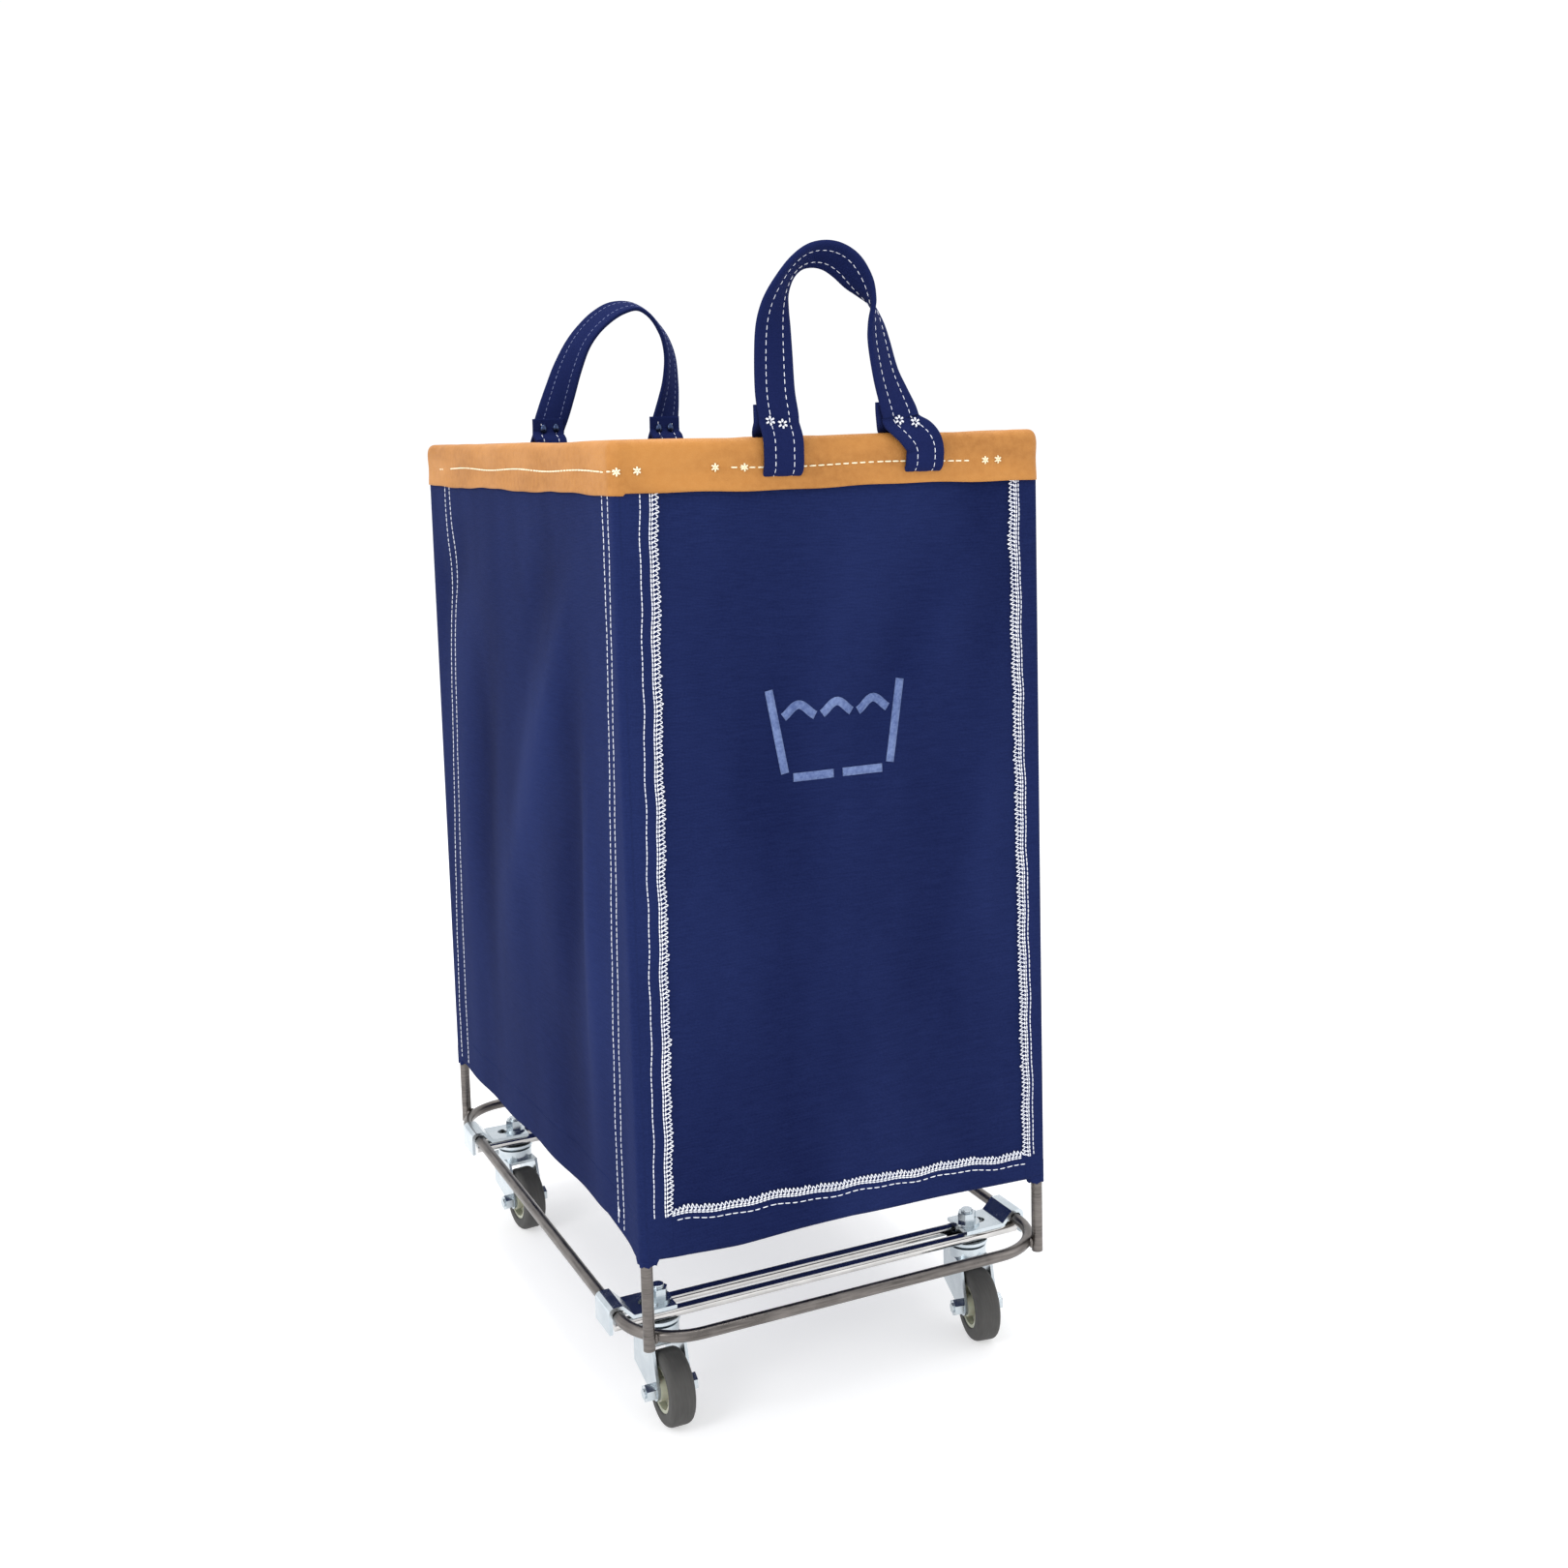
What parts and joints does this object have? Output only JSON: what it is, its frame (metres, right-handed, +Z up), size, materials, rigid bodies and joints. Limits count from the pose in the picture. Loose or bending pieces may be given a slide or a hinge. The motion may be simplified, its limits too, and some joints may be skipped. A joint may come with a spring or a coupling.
{
  "type": "laundry cart",
  "caption": "Tall laundry cart: navy canvas bag hung in a welded round-rod steel frame, leather-bound rim, two strap handles and swivel casters clamped under the base.",
  "frame": {"origin": "on the floor, below the middle of the frame", "axes": "+Z up, -Y the front face of the bag, -X its left side"},
  "size_m": [0.388, 0.5606, 0.9337],
  "materials": {
    "bag_canvas": "heavy plain-weave cotton canvas, navy, matt",
    "strap_canvas": "folded navy canvas webbing, matt",
    "thread_white": "white polyester sewing thread",
    "thread_cream": "cream waxed sewing thread",
    "print_ink": "pale blue screen-printed ink on canvas",
    "rim_leather": "tan split leather, satin",
    "frame_steel": "bright drawn steel rod, clear coated",
    "zinc_plate": "bright zinc-plated pressed steel",
    "tyre_rubber": "dark grey soft rubber, matt",
    "hub_nylon": "beige-grey moulded nylon"
  },
  "bodies": {
    "frame": {"base_loop": "frame_steel", "rim_rod": "frame_steel", "cross_rod_front_outer": "frame_steel", "cross_rod_front_inner": "frame_steel", "cross_rod_rear_inner": "frame_steel", "cross_rod_rear_outer": "frame_steel", "panel_front": "bag_canvas", "panel_rear": "bag_canvas", "panel_left": "bag_canvas", "panel_right": "bag_canvas", "panel_bottom": "bag_canvas", "rim_binding": "rim_leather", "strap_end_front_left": "strap_canvas", "strap_end_front_right": "strap_canvas", "strap_end_rear_left": "strap_canvas", "strap_end_rear_right": "strap_canvas", "upright_front_left": "frame_steel", "upright_front_right": "frame_steel", "upright_rear_left": "frame_steel", "upright_rear_right": "frame_steel", "rod_pocket_front_left": "bag_canvas", "rod_pocket_front_right": "bag_canvas", "rod_pocket_rear_left": "bag_canvas", "rod_pocket_rear_right": "bag_canvas", "clamp_plate_front_left": "zinc_plate", "clamp_plate_front_right": "zinc_plate", "clamp_plate_rear_left": "zinc_plate", "clamp_plate_rear_right": "zinc_plate", "stem_front_left": "zinc_plate", "stem_front_right": "zinc_plate", "stem_rear_left": "zinc_plate", "stem_rear_right": "zinc_plate", "stem_nut_front_left": "zinc_plate", "stem_nut_front_right": "zinc_plate", "stem_nut_rear_left": "zinc_plate", "stem_nut_rear_right": "zinc_plate"},
    "swivel_front_left": {"fork_front_left": "zinc_plate", "axle_front_left": "zinc_plate"},
    "wheel_front_left": {"hub_front_left": "hub_nylon", "tyre_front_left": "tyre_rubber"},
    "swivel_front_right": {"fork_front_right": "zinc_plate", "axle_front_right": "zinc_plate"},
    "wheel_front_right": {"hub_front_right": "hub_nylon", "tyre_front_right": "tyre_rubber"},
    "swivel_rear_left": {"fork_rear_left": "zinc_plate", "axle_rear_left": "zinc_plate"},
    "wheel_rear_left": {"hub_rear_left": "hub_nylon", "tyre_rear_left": "tyre_rubber"},
    "swivel_rear_right": {"fork_rear_right": "zinc_plate", "axle_rear_right": "zinc_plate"},
    "wheel_rear_right": {"hub_rear_right": "hub_nylon", "tyre_rear_right": "tyre_rubber"},
    "front_handle": {"handle_front": "strap_canvas"},
    "rear_handle": {"handle_rear": "strap_canvas"}
  },
  "joints": [
    {"name": "swivel_front_left_turn", "type": "hinge", "parent": "frame", "child": "swivel_front_left", "pos_m": [-0.146, -0.2035, 0.075], "axis": [0, 0, 1], "continuous": true},
    {"name": "wheel_front_left_roll", "type": "hinge", "parent": "swivel_front_left", "child": "wheel_front_left", "pos_m": [-0.146, -0.2285, 0.03], "axis": [1, 0, 0], "continuous": true},
    {"name": "swivel_front_right_turn", "type": "hinge", "parent": "frame", "child": "swivel_front_right", "pos_m": [0.146, -0.2035, 0.075], "axis": [0, 0, 1], "continuous": true},
    {"name": "wheel_front_right_roll", "type": "hinge", "parent": "swivel_front_right", "child": "wheel_front_right", "pos_m": [0.14166, -0.22812, 0.03], "axis": [0.9848, -0.1736, 0], "continuous": true},
    {"name": "swivel_rear_left_turn", "type": "hinge", "parent": "frame", "child": "swivel_rear_left", "pos_m": [-0.146, 0.2035, 0.075], "axis": [0, 0, 1], "continuous": true},
    {"name": "wheel_rear_left_roll", "type": "hinge", "parent": "swivel_rear_left", "child": "wheel_rear_left", "pos_m": [-0.14382, 0.1786, 0.03], "axis": [0.9962, 0.0872, 0], "continuous": true},
    {"name": "swivel_rear_right_turn", "type": "hinge", "parent": "frame", "child": "swivel_rear_right", "pos_m": [0.146, 0.2035, 0.075], "axis": [0, 0, 1], "continuous": true},
    {"name": "wheel_rear_right_roll", "type": "hinge", "parent": "swivel_rear_right", "child": "wheel_rear_right", "pos_m": [0.14426, 0.17856, 0.03], "axis": [0.9976, -0.0698, 0], "continuous": true},
    {"name": "front_handle_flop", "type": "hinge", "parent": "frame", "child": "front_handle", "pos_m": [0, -0.27036, 0.8025], "axis": [1, 0, 0], "range_deg": [-85, 85]},
    {"name": "rear_handle_flop", "type": "hinge", "parent": "frame", "child": "rear_handle", "pos_m": [0, 0.27036, 0.8025], "axis": [-1, 0, 0], "range_deg": [-85, 85]}
  ]
}
